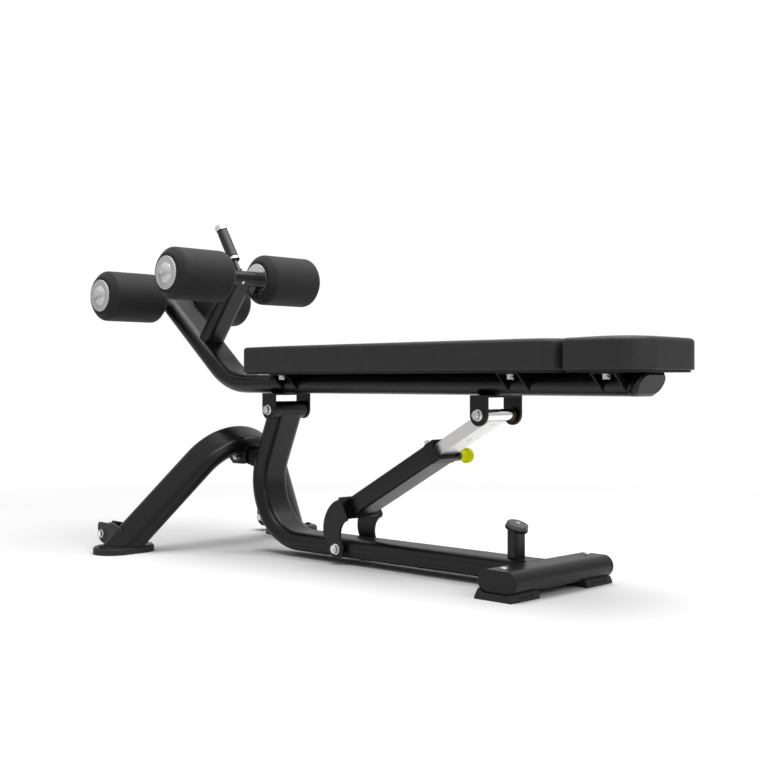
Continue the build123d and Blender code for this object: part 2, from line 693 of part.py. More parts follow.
with BuildPart() as handle_grip:
    with BuildSketch(grip_plane):
        Circle(GRIP_R)
        Circle(7, mode=Mode.SUBTRACT)
    extrude(amount=GRIP_LEN)
save(handle_grip, "handle_grip")

with BuildPart() as handle_caps:
    with BuildSketch(grip_plane.offset(-7)):
        Circle(GRIP_R + 0.5)
        Circle(7, mode=Mode.SUBTRACT)
    extrude(amount=7)
    with BuildSketch(grip_plane.offset(GRIP_LEN)):
        Circle(GRIP_R + 1.5)
    extrude(amount=18)
    fillet(handle_caps.faces().sort_by(Axis.Z)[-1].edges(), 5)
save(handle_caps, "handle_caps")

# ---- pad supports, boards, cushions and bolts ----
beam_top = BEAM_Z + TUBE_H / 2
with BuildPart() as pad_supports:
    for x in SUPPORT_X:
        with BuildSketch(level(BOARD_Z, x)):
            Rectangle(2 * FLANGE_HALF, 2 * SUPPORT_HALF)
            Rectangle(2 * FLANGE_HALF, 64, mode=Mode.SUBTRACT)
        extrude(amount=-SUPPORT_T)
        for t in SIDES:
            flange = Plane(origin=(PIVOT_X + x + t * (FLANGE_HALF - 2), 0, BOARD_Z), x_dir=(0, 1, 0), z_dir=(1, 0, 0))
            with BuildSketch(flange):
                with BuildLine():
                    Polyline((-SUPPORT_HALF, 0), (-44, -41), (44, -41), (SUPPORT_HALF, 0), close=True)
                make_face()
            extrude(amount=2, both=True)
        with BuildSketch(level(BOARD_Z, x)):
            Rectangle(2 * FLANGE_HALF + 2, 64)
        extrude(amount=-SUPPORT_T, mode=Mode.SUBTRACT)
    add(beam_envelope.part, mode=Mode.SUBTRACT)
    for x in SUPPORT_X:
        for s in SIDES:
            with Locations((PIVOT_X + x, s * PAD_BOLT_Y, BOARD_Z)):
                Hole(4.3, 20)
save(pad_supports, "pad_supports")


def cushion_outline(x0, x1, inset, foot_r, head_r):
    """Pad outline: corner radius foot_r at the foot end and head_r at the head end."""
    y = PAD_HALF - inset
    a = PIVOT_X + x0 + inset
    b = PIVOT_X + x1 - inset
    with BuildSketch() as outline:
        with BuildLine():
            Polyline((a, -y), (b, -y), (b, y), (a, y), close=True)
        make_face()
        corners = outline.vertices().group_by(Axis.X)
        fillet(corners[0], foot_r - inset / 2)
        fillet(outline.vertices().group_by(Axis.X)[-1], head_r - inset / 2)
    return outline.sketch


pad_specs = (
    ("main_pad", MAIN_X0, MAIN_X1, MAIN_CORNERS, SUPPORT_X[:2]),
    ("head_pad", HEAD_X0, HEAD_X1, HEAD_CORNERS, SUPPORT_X[2:]),
)
for label, x0, x1, (foot_r, head_r), supports in pad_specs:
    bolt_spots = [(PIVOT_X + x, s * PAD_BOLT_Y) for x in supports for s in SIDES]
    with BuildPart() as board:
        with BuildSketch(Plane.XY.offset(BOARD_Z)):
            add(cushion_outline(x0, x1, BOARD_INSET, foot_r, head_r))
            with Locations(*bolt_spots):
                Circle(4.0, mode=Mode.SUBTRACT)
        extrude(amount=BOARD_T)
    save(board, label + "_board")
    with BuildPart() as cushion:
        with BuildSketch(Plane.XY.offset(BOARD_Z + BOARD_T)):
            add(cushion_outline(x0, x1, 0, foot_r, head_r))
        extrude(amount=PAD_TOP - BOARD_Z - BOARD_T)
        fillet(cushion.faces().sort_by(Axis.Z)[-1].edges(), PAD_EDGE_R)
    save(cushion, label)

with BuildPart() as pad_bolts:
    for x in SUPPORT_X:
        for s in SIDES:
            under = level(BOARD_Z - SUPPORT_T, x, s * PAD_BOLT_Y)
            with BuildSketch(under):
                Circle(4.0)
            extrude(amount=SUPPORT_T + BOARD_T - 1)
            with BuildSketch(under):
                Circle(10)
            extrude(amount=-2)
            with BuildSketch(under.offset(-2)):
                RegularPolygon(7.5, 6, major_radius=False)
            extrude(amount=-9)
save(pad_bolts, "pad_bolts")

# =====================================================================
# TELESCOPIC STRUT
# =====================================================================

with BuildPart() as strut_eye_envelope:
    with BuildSketch(side(STRUT_X, STRUT_Z)):
        Circle(13)
    extrude(amount=60, both=True)

with BuildPart() as adjustment_bar:
    with BuildSketch(strut_side((BAR_END + 4) / 2)):
        Rectangle(BAR_END - 4, BAR_H)
    extrude(amount=BAR_W / 2, both=True)
    chamfer(adjustment_bar.edges().filter_by(Axis((0, 0, 0), (AXIS[0], 0, AXIS[1]))), 1)
    add(strut_eye_envelope.part, mode=Mode.SUBTRACT)
save(adjustment_bar, "adjustment_bar")

with BuildPart() as strut_sleeve:
    with BuildSketch(side(STRUT_X, STRUT_Z)):
        Circle(13)
        Circle(PIN_R + RUN_GAP, mode=Mode.SUBTRACT)
    extrude(amount=LUG_IN - 7, both=True)
save(strut_sleeve, "strut_sleeve")

with BuildPart() as strut_bushes:
    for s in SIDES:
        with BuildSketch(Plane(origin=(PIVOT_X + STRUT_X, s * (LUG_IN - 0.5), STRUT_Z), x_dir=(1, 0, 0), z_dir=(0, -s, 0))):
            Circle(17)
            Circle(PIN_R + RUN_GAP, mode=Mode.SUBTRACT)
        extrude(amount=6.5)
save(strut_bushes, "strut_bushes")

clamp_plane = Plane(
    origin=strut_side(CLAMP_AT, OUTER_H / 2 + 2, CLAMP_Y).origin, x_dir=(0, 1, 0), z_dir=(-AXIS[1], 0, AXIS[0])
)
with BuildPart() as strut_tube:
    with BuildSketch(strut_section(YOKE_FACE - 6)):
        RectangleRounded(OUTER_W, OUTER_H, 8)
        RectangleRounded(OUTER_W - 8, OUTER_H - 8, 5, mode=Mode.SUBTRACT)
    extrude(amount=YOKE_FACE - 6 - MOUTH - 4)
    with BuildSketch(strut_side(POP_AT, -POP_DROP)):
        Circle(8)
    extrude(amount=-OUTER_W, mode=Mode.SUBTRACT)
    with BuildSketch(clamp_plane):
        Circle(2.5)
    extrude(amount=-8, mode=Mode.SUBTRACT)
save(strut_tube, "strut_tube")

with BuildPart() as strut_liner:
    with BuildSketch(strut_section(MOUTH + 60)):
        RectangleRounded(OUTER_W - 8, OUTER_H - 8, 5)
    extrude(amount=56)
    with BuildSketch(strut_section(MOUTH + 24)):
        RectangleRounded(OUTER_W + 5, OUTER_H + 4, 10)
        RectangleRounded(OUTER_W, OUTER_H, 8, mode=Mode.SUBTRACT)
    extrude(amount=20)
    with BuildSketch(strut_section(MOUTH + 4)):
        RectangleRounded(OUTER_W + 5, OUTER_H + 4, 10)
    extrude(amount=4)
    with BuildSketch(strut_section(MOUTH + 62)):
        Rectangle(BAR_W + 1, BAR_H + 1)
    extrude(amount=70, mode=Mode.SUBTRACT)
    with BuildSketch(strut_section(MOUTH + 6)):
        RectangleRounded(BAR_W + 15, BAR_H + 12, 6)
    extrude(amount=10, mode=Mode.SUBTRACT)
    with BuildSketch(strut_side(POP_AT, -POP_DROP)):
        Circle(8)
    extrude(amount=-OUTER_W, mode=Mode.SUBTRACT)
    with BuildSketch(clamp_plane):
        Circle(2.5)
    extrude(amount=-8, mode=Mode.SUBTRACT)
save(strut_liner, "strut_liner")

with BuildPart() as strut_clamp_screw:
    with BuildSketch(clamp_plane):
        Circle(6.5)
    extrude(amount=1.5)
    with BuildSketch(clamp_plane.offset(1.5)):
        RegularPolygon(6, 6)
    extrude(amount=6)
    with BuildSketch(clamp_plane):
        Circle(2.4)
    extrude(amount=-7.5)
save(strut_clamp_screw, "strut_clamp_screw")

with BuildPart() as strut_yoke:
    for s in SIDES:
        with BuildSketch(side(0, 0, s * (LUG_IN + LUG_T / 2))):
            with BuildLine():
                Spline((259.4, 158.8), (226, 138), (207, 99), (208, 68), (229.5, 42))
                ThreePointArc((229.5, 42), (251, 15.5), (275, 40))
                Spline((275, 40), (265, 60), (263.5, 80), (270, 97), (285.9, 109.1))
                Polyline((285.9, 109.1), (288.5, 110.5), (262, 160.2), (259.4, 158.8))
            make_face()
        extrude(amount=LUG_T / 2, both=True)
    with BuildSketch(strut_section(YOKE_FACE)):
        Rectangle(2 * (LUG_IN + LUG_T), 56)
    extrude(amount=6)
    with BuildSketch(side(YOKE_X, YOKE_Z)):
        Circle(PIN_R)
    extrude(amount=LUG_IN + 20, both=True, mode=Mode.SUBTRACT)
save(strut_yoke, "strut_yoke")

save(cross_bolt(YOKE_X, YOKE_Z, LUG_IN + LUG_T), "yoke_bolt")

# ---- spring plunger on the far side of the mouth ----
pop_side = strut_side(POP_AT, -POP_DROP)
pop_face = Plane(origin=pop_side.origin, x_dir=pop_side.x_dir, z_dir=(0, 1, 0))
with BuildPart() as pop_pin_barrel:
    with BuildSketch(pop_face.offset(BAR_W / 2 + 1)):
        Circle(7.9)
        Circle(3 + RUN_GAP, mode=Mode.SUBTRACT)
    extrude(amount=KNOB_Y - 0.5 - BAR_W / 2 - 1)
    with BuildSketch(pop_face.offset(OUTER_W / 2 + 2.5)):
        Circle(11)
        Circle(7.9, mode=Mode.SUBTRACT)
    extrude(amount=14)
save(pop_pin_barrel, "pop_pin_barrel")

with BuildPart() as pop_pin_plunger:
    with BuildSketch(pop_face.offset(BAR_W / 2 + 0.6)):
        Circle(3)
    extrude(amount=50)
save(pop_pin_plunger, "pop_pin_plunger")

with BuildPart() as pop_pin_knob:
    with BuildSketch(pop_face.offset(KNOB_Y)):
        Circle(11)
    extrude(amount=KNOB_NECK)
    with BuildSketch(pop_face.offset(KNOB_Y + KNOB_NECK)):
        Circle(18)
    extrude(amount=12)
    fillet(pop_pin_knob.edges().filter_by(GeomType.CIRCLE).sort_by(Axis.Y)[-2:], 4)
    with BuildSketch(pop_face.offset(KNOB_Y)):
        Circle(3)
    extrude(amount=BAR_W / 2 + 50.6 - KNOB_Y, mode=Mode.SUBTRACT)
save(pop_pin_knob, "pop_pin_knob")
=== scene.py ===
import json
import math
import bmesh
import bpy
from mathutils import Euler, Matrix, Vector, noise


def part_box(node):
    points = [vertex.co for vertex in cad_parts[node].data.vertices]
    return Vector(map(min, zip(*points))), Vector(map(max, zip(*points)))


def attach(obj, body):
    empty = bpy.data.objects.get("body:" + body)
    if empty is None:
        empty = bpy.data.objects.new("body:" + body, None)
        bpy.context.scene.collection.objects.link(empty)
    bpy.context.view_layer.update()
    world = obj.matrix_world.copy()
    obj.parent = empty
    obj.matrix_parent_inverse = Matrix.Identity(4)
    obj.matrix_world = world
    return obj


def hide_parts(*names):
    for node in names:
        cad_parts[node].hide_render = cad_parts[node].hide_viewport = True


# Looks for an adjustable abdominal bench. Metres, in the frame of the CAD model.
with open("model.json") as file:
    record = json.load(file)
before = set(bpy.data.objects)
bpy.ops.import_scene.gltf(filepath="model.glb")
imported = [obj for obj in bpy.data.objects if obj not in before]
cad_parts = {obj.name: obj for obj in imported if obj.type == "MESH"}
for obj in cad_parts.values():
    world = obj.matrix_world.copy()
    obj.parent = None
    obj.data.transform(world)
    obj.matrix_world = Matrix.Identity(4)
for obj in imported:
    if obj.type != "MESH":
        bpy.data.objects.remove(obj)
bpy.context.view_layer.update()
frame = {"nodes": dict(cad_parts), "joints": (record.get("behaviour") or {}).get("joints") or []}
nodes = frame["nodes"]
joints = {joint["name"]: joint for joint in frame["joints"]}

MM = 0.001

# ---- camera ----
CAMERA_PLACE = (2.0857, -2.0937, 0.445)
CAMERA_AZIMUTH = 44.03
CAMERA_DROP = 0.12
CAMERA_LENS = 56.82
CAMERA_CLIP = (0.05, 200)

# ---- pads ----
PAD_CELL = 12 * MM
PAD_CROWN = 5.5 * MM
PAD_EDGE = 8 * MM
PAD_FOLD = 2 * MM
MAIN_CORNERS = (12 * MM, 32 * MM)
HEAD_CORNERS = (18 * MM, 66 * MM)
PAD_CORNER_STEPS = 14
PAD_FOLD_STEPS = 3
PAD_EDGE_STEPS = 6
PAD_SHARP = math.radians(50)
CUT_MERGE = 1e-5

# ---- cloth sheet blown up over a pad ----
CLOTH_ACROSS = 22
CLOTH_FRAMES = 20
CLOTH_PRESSURE = 4.0
CLOTH_QUALITY = 5
CLOTH_STRETCH = 30
CLOTH_BEND = 5

# ---- foam rollers ----
FOAM_BEVEL = 17 * MM
FOAM_SOFT = 7 * MM
FOAM_DISC_R = 43.3 * MM
FOAM_BORE_R = 17.5 * MM
FOAM_DISH = 1.5 * MM
FOAM_UNEVEN = 0.25 * MM
FOAM_UNEVEN_SCALE = 22
FOAM_UNEVEN_SHIFT = 40
FOAM_RIM = 5 * MM
FOAM_CORNER_STEPS = 6
FOAM_STEPS = 128
DOME_R = 27.5 * MM

# ---- handle grip ----
GRIP_LEAN = math.radians(58)
GRIP_LIP = 1.0 * MM
GRIP_BORE = 7 * MM
GRIP_SLIM = 0.4 * MM
GRIP_SWELL = 0.5 * MM
GRIP_ROLL_START = 0.9
GRIP_ROLL_SHARE = 0.1
GRIP_HALF_STEPS = 12
GRIP_STEPS = 64

# ---- studio ----
FLOOR_HALF = 20
FLOOR_FADE = (1.0, 2.6)
FLOOR_SEEN = 0.92
FLOOR_UNSEEN = 0.4
SOFT_LIGHT = 0.5
SOFT_GREYS = (0.10, 0.85)
MIRRORED_LIGHT = 1.0
MIRRORED_GREYS = (0.55, 0.85)
DOME_TOP = 0.9
OVERHEAD_LAMP = ((0.3, 0.2, 3.6), (0, 0, 0.3), (4.0, 3.2), 165)
HEAD_SIDE_LAMP = ((4.2, -0.4, 2.4), (0, 0, 0.4), (2.2, 2.2), 45)

# ---- position marks on the adjustment bar ----
BAR_HALF_H = 14 * MM
MARK_FIRST = 20 * MM
MARK_STEP = 75 * MM
MARK_SIZE = 15 * MM
MARK_THICK = 0.05 * MM


# =====================================================================
# MATERIALS
# =====================================================================
class Finish:
    """A Principled material with procedural colour, roughness and relief in the object's own space."""

    def __init__(self, name, color, roughness, metallic=0.0, specular=0.5):
        self.material = bpy.data.materials.new(name)
        self.material.use_nodes = True
        self.tree = self.material.node_tree
        self.shader = self.tree.nodes["Principled BSDF"]
        self.place = self.tree.nodes.new("ShaderNodeTexCoord").outputs["Object"]
        self.normal = None
        self.set(**{"Roughness": roughness, "Metallic": metallic, "Specular IOR Level": specular})
        self.shader.inputs["Base Color"].default_value = (*color, 1)

    def set(self, **values):
        for key, value in values.items():
            self.shader.inputs[key].default_value = value
        return self

    def node(self, kind, **values):
        made = self.tree.nodes.new(kind)
        for key, value in values.items():
            setattr(made, key, value)
        return made

    def stretched(self, axis, factor):
        """Object coordinates squeezed along one direction, so that noise drawn on them runs in streaks."""
        turn = Vector(axis).normalized().to_track_quat("X", "Z").inverted().to_euler()
        mapping = self.node("ShaderNodeMapping")
        mapping.inputs["Rotation"].default_value = turn
        self.tree.links.new(self.place, mapping.inputs["Vector"])
        squeeze = self.node("ShaderNodeMapping")
        squeeze.inputs["Scale"].default_value = (factor, 1, 1)
        self.tree.links.new(mapping.outputs["Vector"], squeeze.inputs["Vector"])
        return squeeze.outputs["Vector"]

    def noise(self, scale, detail=2.0, rough=0.5, place=None):
        made = self.node("ShaderNodeTexNoise")
        made.inputs["Scale"].default_value = scale
        made.inputs["Detail"].default_value = detail
        made.inputs["Roughness"].default_value = rough
        self.tree.links.new(place or self.place, made.inputs["Vector"])
        return made.outputs["Fac"]

    def cells(self, scale, smooth=0.3):
        """Pebbled cells: distance to the nearest cell centre, softened."""
        made = self.node("ShaderNodeTexVoronoi", feature="SMOOTH_F1")
        made.inputs["Scale"].default_value = scale
        made.inputs["Smoothness"].default_value = smooth
        self.tree.links.new(self.place, made.inputs["Vector"])
        return made.outputs["Distance"]

    def ramp(self, value, low, high, start=0.3, end=0.7):
        made = self.node("ShaderNodeMapRange")
        made.inputs["From Min"].default_value = start
        made.inputs["From Max"].default_value = end
        made.inputs["To Min"].default_value = low
        made.inputs["To Max"].default_value = high
        self.tree.links.new(value, made.inputs["Value"])
        return made.outputs["Result"]

    def colors(self, value, dark, light):
        made = self.node("ShaderNodeMix", data_type="RGBA")
        made.inputs["A"].default_value = (*dark, 1)
        made.inputs["B"].default_value = (*light, 1)
        self.tree.links.new(self.ramp(value, 0.0, 1.0), made.inputs["Factor"])
        self.tree.links.new(made.outputs["Result"], self.shader.inputs["Base Color"])
        return self

    def roughness(self, value, low, high):
        self.tree.links.new(self.ramp(value, low, high), self.shader.inputs["Roughness"])
        return self

    def soft_edges(self, radius):
        made = self.node("ShaderNodeBevel", samples=4)
        made.inputs["Radius"].default_value = radius
        self.normal = made.outputs["Normal"]
        self.tree.links.new(self.normal, self.shader.inputs["Normal"])
        return self

    def relief(self, height, depth, strength=1.0):
        made = self.node("ShaderNodeBump")
        made.inputs["Strength"].default_value = strength
        made.inputs["Distance"].default_value = depth
        self.tree.links.new(height, made.inputs["Height"])
        if self.normal is not None:
            self.tree.links.new(self.normal, made.inputs["Normal"])
        self.normal = made.outputs["Normal"]
        self.tree.links.new(self.normal, self.shader.inputs["Normal"])
        return self


def grey(value, warm=0.0):
    return (value * (1 + warm), value, value * (1 - warm))


def powder_coat():
    """Satin black powder coat: fine orange peel, faint mottling in the gloss."""
    finish = Finish("powder_coat_black", grey(0.003), 0.32, specular=0.33)
    finish.soft_edges(1.2 * MM)
    finish.colors(finish.noise(9, 3), grey(0.0024), grey(0.0036))
    finish.roughness(finish.noise(40, 4), 0.29, 0.35)
    finish.relief(finish.noise(520, 2), 0.012 * MM, 0.3)
    return finish.material


def gloss_black():
    """Smooth black enamel on the rod below the hand grip."""
    finish = Finish("enamel_black", grey(0.006), 0.14, specular=0.5)
    finish.colors(finish.noise(60, 3), grey(0.005), grey(0.008))
    finish.roughness(finish.noise(200, 3), 0.11, 0.2)
    return finish.material


def zinc():
    """Bright zinc plate on bolts, screws and washers."""
    finish = Finish("zinc_bright", grey(0.78), 0.22, metallic=1.0)
    finish.soft_edges(0.5 * MM)
    finish.colors(finish.noise(120, 3), grey(0.66), grey(0.86))
    finish.roughness(finish.noise(300, 3), 0.16, 0.30)
    return finish.material


def chrome():
    """Chrome plate on the axles, handle caps, strut sleeve and inner discs of the rollers."""
    finish = Finish("chrome_plate", grey(0.82), 0.08, metallic=1.0)
    finish.soft_edges(0.5 * MM)
    finish.roughness(finish.noise(60, 3), 0.05, 0.12)
    return finish.material


def satin_steel(axis):
    """Light satin plate on the adjustment bar, with a fine grain along its length."""
    finish = Finish("satin_nickel", grey(0.78), 0.38, metallic=0.9)
    finish.soft_edges(0.8 * MM)
    streaks = finish.noise(900, 3, place=finish.stretched(axis, 0.03))
    finish.colors(finish.noise(700, 4), grey(0.73, 0.01), grey(0.83, 0.01))
    finish.roughness(streaks, 0.33, 0.43)
    finish.relief(streaks, 0.02 * MM, 0.35)
    return finish.material


def silver_rim():
    """Satin silver rim of the roller end discs."""
    finish = Finish("silver_satin", grey(0.8), 0.42, metallic=0.3)
    finish.soft_edges(0.6 * MM)
    finish.colors(finish.noise(400, 3), grey(0.76), grey(0.84))
    finish.roughness(finish.noise(200, 3), 0.36, 0.48)
    finish.relief(finish.noise(900, 2), 0.015 * MM, 0.4)
    return finish.material


def silver_dome():
    """Glossy domed centre of the roller end discs."""
    finish = Finish("silver_gloss", grey(0.72), 0.16, metallic=0.4)
    finish.set(**{"Coat Weight": 0.6, "Coat Roughness": 0.06})
    finish.roughness(finish.noise(150, 3), 0.12, 0.2)
    return finish.material


def matte_plastic():
    """Moulded black plastic with spark-eroded texture."""
    finish = Finish("plastic_black", grey(0.006), 0.42, specular=0.28)
    finish.soft_edges(1.2 * MM)
    finish.colors(finish.noise(30, 3), grey(0.0050), grey(0.0072))
    finish.roughness(finish.noise(500, 2), 0.36, 0.48)
    finish.relief(finish.noise(1400, 2), 0.03 * MM, 0.5)
    return finish.material


def rubber():
    """Matte black rubber for feet, foot pads and wheels."""
    finish = Finish("rubber_black", grey(0.016), 0.62, specular=0.4)
    finish.soft_edges(1.0 * MM)
    finish.colors(finish.noise(60, 4), grey(0.013), grey(0.019))
    finish.roughness(finish.noise(700, 2), 0.55, 0.7)
    finish.relief(finish.noise(1100, 3), 0.05 * MM, 0.5)
    return finish.material


def grip_rubber():
    """Hand grip rubber, slightly glossier than that of the feet."""
    finish = Finish("rubber_grip", grey(0.013), 0.42, specular=0.5)
    finish.colors(finish.noise(80, 3), grey(0.011), grey(0.016))
    finish.roughness(finish.noise(600, 2), 0.36, 0.5)
    finish.relief(finish.noise(1500, 2), 0.04 * MM, 0.5)
    return finish.material


def grey_plastic():
    """Mid-grey moulded plastic of the stop post's cap."""
    finish = Finish("plastic_grey", grey(0.13), 0.42, specular=0.5)
    finish.soft_edges(0.8 * MM)
    finish.colors(finish.noise(200, 3), grey(0.12), grey(0.145))
    finish.relief(finish.noise(1200, 2), 0.03 * MM, 0.4)
    return finish.material


def bronze():
    """Dull bronze of the strut bushes."""
    finish = Finish("bronze_bush", (0.06, 0.042, 0.018), 0.35, metallic=1.0)
    finish.colors(finish.noise(180, 3), (0.045, 0.032, 0.014), (0.08, 0.056, 0.025))
    finish.roughness(finish.noise(300, 3), 0.28, 0.42)
    return finish.material


def knob_plastic():
    """Lime yellow moulded knob, with a faint glow that keeps it bright in the shade."""
    finish = Finish("plastic_lime", (0.84, 0.92, 0.0), 0.38, specular=0.18)
    finish.soft_edges(1.0 * MM)
    finish.colors(finish.noise(90, 3), (0.81, 0.88, 0.0), (0.88, 0.95, 0.0))
    finish.set(**{"Emission Color": (0.62, 0.66, 0.0, 1), "Emission Strength": 0.26})
    finish.roughness(finish.noise(400, 2), 0.33, 0.45)
    finish.relief(finish.noise(900, 2), 0.02 * MM, 0.4)
    return finish.material


def leatherette():
    """Black upholstery vinyl: pebbled grain over soft large unevenness."""
    finish = Finish("leatherette_black", grey(0.017), 0.52, specular=0.42)
    finish.colors(finish.noise(25, 4), grey(0.0150), grey(0.0195))
    finish.roughness(finish.noise(350, 3), 0.46, 0.60)
    finish.relief(finish.noise(18, 3), 0.7 * MM, 0.25)
    finish.relief(finish.cells(620), 0.10 * MM, 0.55)
    finish.relief(finish.noise(2200, 2), 0.03 * MM, 0.4)
    return finish.material


def foam_skin():
    """Closed-cell foam: matte charcoal skin with fine pores."""
    finish = Finish("foam_charcoal", grey(0.018), 0.72, specular=0.32)
    finish.set(**{"Sheen Weight": 0.05, "Sheen Roughness": 0.5})
    finish.colors(finish.noise(35, 4), grey(0.0165), grey(0.0215))
    finish.roughness(finish.noise(500, 2), 0.66, 0.8)
    finish.relief(finish.noise(260, 4, 0.6), 0.16 * MM, 0.5)
    finish.relief(finish.cells(1300), 0.06 * MM, 0.5)
    return finish.material


def painted_board():
    """Black-stained plywood under the pads."""
    finish = Finish("board_black", grey(0.010), 0.6, specular=0.35)
    grain = finish.noise(420, 4, place=finish.stretched((1, 0, 0), 0.04))
    finish.colors(grain, grey(0.007), grey(0.014))
    finish.roughness(grain, 0.52, 0.68)
    finish.relief(grain, 0.06 * MM, 0.4)
    return finish.material


def mark_paint():
    """Dark print of the position marks."""
    finish = Finish("mark_dark", grey(0.02), 0.5)
    finish.colors(finish.noise(800, 2), grey(0.015), grey(0.03))
    return finish.material


bar_axis = Vector(joints["strut_slide"]["axis"]).normalized()
by_slot = {
    "frame_black": powder_coat(),
    "bright_steel": zinc(),
    "black_plastic": matte_plastic(),
    "black_rubber": rubber(),
    "grey_plastic": grey_plastic(),
    "bronze_bush": bronze(),
    "chrome": chrome(),
    "silver_disc": silver_rim(),
    "upholstery": leatherette(),
    "pad_board": painted_board(),
    "foam": foam_skin(),
    "knob_yellow": knob_plastic(),
}
nickel = satin_steel(bar_axis)
dome_finish = silver_dome()
grip_skin = grip_rubber()
mark_ink = mark_paint()

for cad_node in nodes.values():
    for held in cad_node.material_slots:
        held.material = by_slot[held.material.name]
nodes["adjustment_bar"].material_slots[0].material = nickel
nodes["roller_inner_discs"].material_slots[0].material = by_slot["chrome"]
nodes["handle_rod"].material_slots[0].material = gloss_black()
nodes["rear_foot_screws"].material_slots[0].material = by_slot["frame_black"]
nodes["pop_pin_barrel"].material_slots[0].material = by_slot["frame_black"]

# the domed centre of each end disc is glossier than its flat rim
discs = nodes["roller_end_caps"]
discs.data.materials.append(dome_finish)
axles = [Vector(joints[f"roller_{level}_right_spin"]["pos_m"]) for level in ("upper", "lower")]
for face in discs.data.polygons:
    reach = min(math.hypot(face.center.x - axle.x, face.center.z - axle.z) for axle in axles)
    face.material_index = 1 if reach < DOME_R else 0


# =====================================================================
# MESH HELPERS
# =====================================================================
def mesh_object(name, bm, material):
    """Turns an edited mesh into an object with one material."""
    mesh = bpy.data.meshes.new(name)
    bm.to_mesh(mesh)
    bm.free()
    made = bpy.data.objects.new(name, mesh)
    bpy.context.scene.collection.objects.link(made)
    made.data.materials.append(material)
    return made


def smooth(obj):
    obj.data.polygons.foreach_set("use_smooth", [True] * len(obj.data.polygons))


def arc(centre, radius, start, end, steps):
    """Points on an arc in a plane, angles in degrees."""
    return [
        (
            centre[0] + radius * math.cos(math.radians(start + (end - start) * i / steps)),
            centre[1] + radius * math.sin(math.radians(start + (end - start) * i / steps)),
        )
        for i in range(steps + 1)
    ]


def bake(obj):
    """Applies the object's modifiers to its mesh."""
    graph = bpy.context.evaluated_depsgraph_get()
    mesh = bpy.data.meshes.new_from_object(obj.evaluated_get(graph))
    obj.modifiers.clear()
    obj.data = mesh


def lathe(name, profile, material, steps=96):
    """Turned solid round local Z from (radius, height) points that close on themselves."""
    bm = bmesh.new()
    rings = []
    for i in range(steps):
        angle = 2 * math.pi * i / steps
        rings.append([bm.verts.new((r * math.cos(angle), r * math.sin(angle), h)) for r, h in profile])
    count = len(profile)
    for i in range(steps):
        here = rings[i]
        there = rings[(i + 1) % steps]
        for k in range(count):
            n = (k + 1) % count
            bm.faces.new((here[k], there[k], there[n], here[n]))
    bmesh.ops.recalc_face_normals(bm, faces=bm.faces)
    made = mesh_object(name, bm, material)
    smooth(made)
    return made


# =====================================================================
# PADS
# =====================================================================
def pad_outline(low, high, corners, inset):
    """Plan of a pad with its own corner radius at the foot end and at the head end."""
    foot, head = (max(radius - inset, 1 * MM) for radius in corners)
    x0, x1 = low.x + inset, high.x - inset
    y0, y1 = low.y + inset, high.y - inset
    steps = PAD_CORNER_STEPS
    return (
        arc((x0 + foot, y0 + foot), foot, 180, 270, steps)
        + arc((x1 - head, y0 + head), head, 270, 360, steps)
        + arc((x1 - head, y1 - head), head, 0, 90, steps)
        + arc((x0 + foot, y1 - foot), foot, 90, 180, steps)
    )


def pad_shell(name, low, high, corners):
    """Closed pad with flat sides, a tight lower fold and a rounded upper edge, cut into small cells."""
    fold = [math.radians(90 * i / PAD_FOLD_STEPS) for i in range(PAD_FOLD_STEPS + 1)]
    levels = [(PAD_FOLD * (1 - math.sin(a)), low.z + PAD_FOLD * (1 - math.cos(a))) for a in fold]
    levels += [(0.0, low.z + (high.z - PAD_EDGE - low.z) * share) for share in (0.25, 0.5, 0.75)]
    edge = [math.radians(90 * (1 - i / PAD_EDGE_STEPS)) for i in range(PAD_EDGE_STEPS + 1)]
    levels += [(PAD_EDGE * (1 - math.sin(a)), high.z - PAD_EDGE * (1 - math.cos(a))) for a in edge]
    bm = bmesh.new()
    rings = [
        [bm.verts.new((x, y, z)) for x, y in pad_outline(low, high, corners, inset)] for inset, z in levels
    ]
    for below, above in zip(rings, rings[1:]):
        for i in range(len(below)):
            k = (i + 1) % len(below)
            bm.faces.new((below[i], below[k], above[k], above[i]))
    bm.faces.new(reversed(rings[0]))
    bm.faces.new(rings[-1])
    for axis in (0, 1):
        normal = (1, 0, 0) if axis == 0 else (0, 1, 0)
        cuts = int((high[axis] - low[axis]) / PAD_CELL)
        for i in range(1, cuts):
            place = Vector((0, 0, 0))
            place[axis] = low[axis] + (high[axis] - low[axis]) * i / cuts
            everything = bm.verts[:] + bm.edges[:] + bm.faces[:]
            bmesh.ops.bisect_plane(bm, geom=everything, dist=CUT_MERGE, plane_co=place, plane_no=normal)
    return mesh_object(name, bm, by_slot["upholstery"])


def inside_outline(x, y, low, high, corners, inset):
    """Whether a plan point lies inside the pad, rounded corners included."""
    foot, head = (radius - inset for radius in corners)
    edge = min(x - low.x, high.x - x, y - low.y, high.y - y) - inset
    if edge <= 0:
        return False
    radius, end = (foot, low.x + inset) if x - low.x < high.x - x else (head, high.x - inset)
    along = radius - abs(x - end)
    across = radius - (min(y - low.y, high.y - y) - inset)
    return along <= 0 or across <= 0 or math.hypot(along, across) < radius


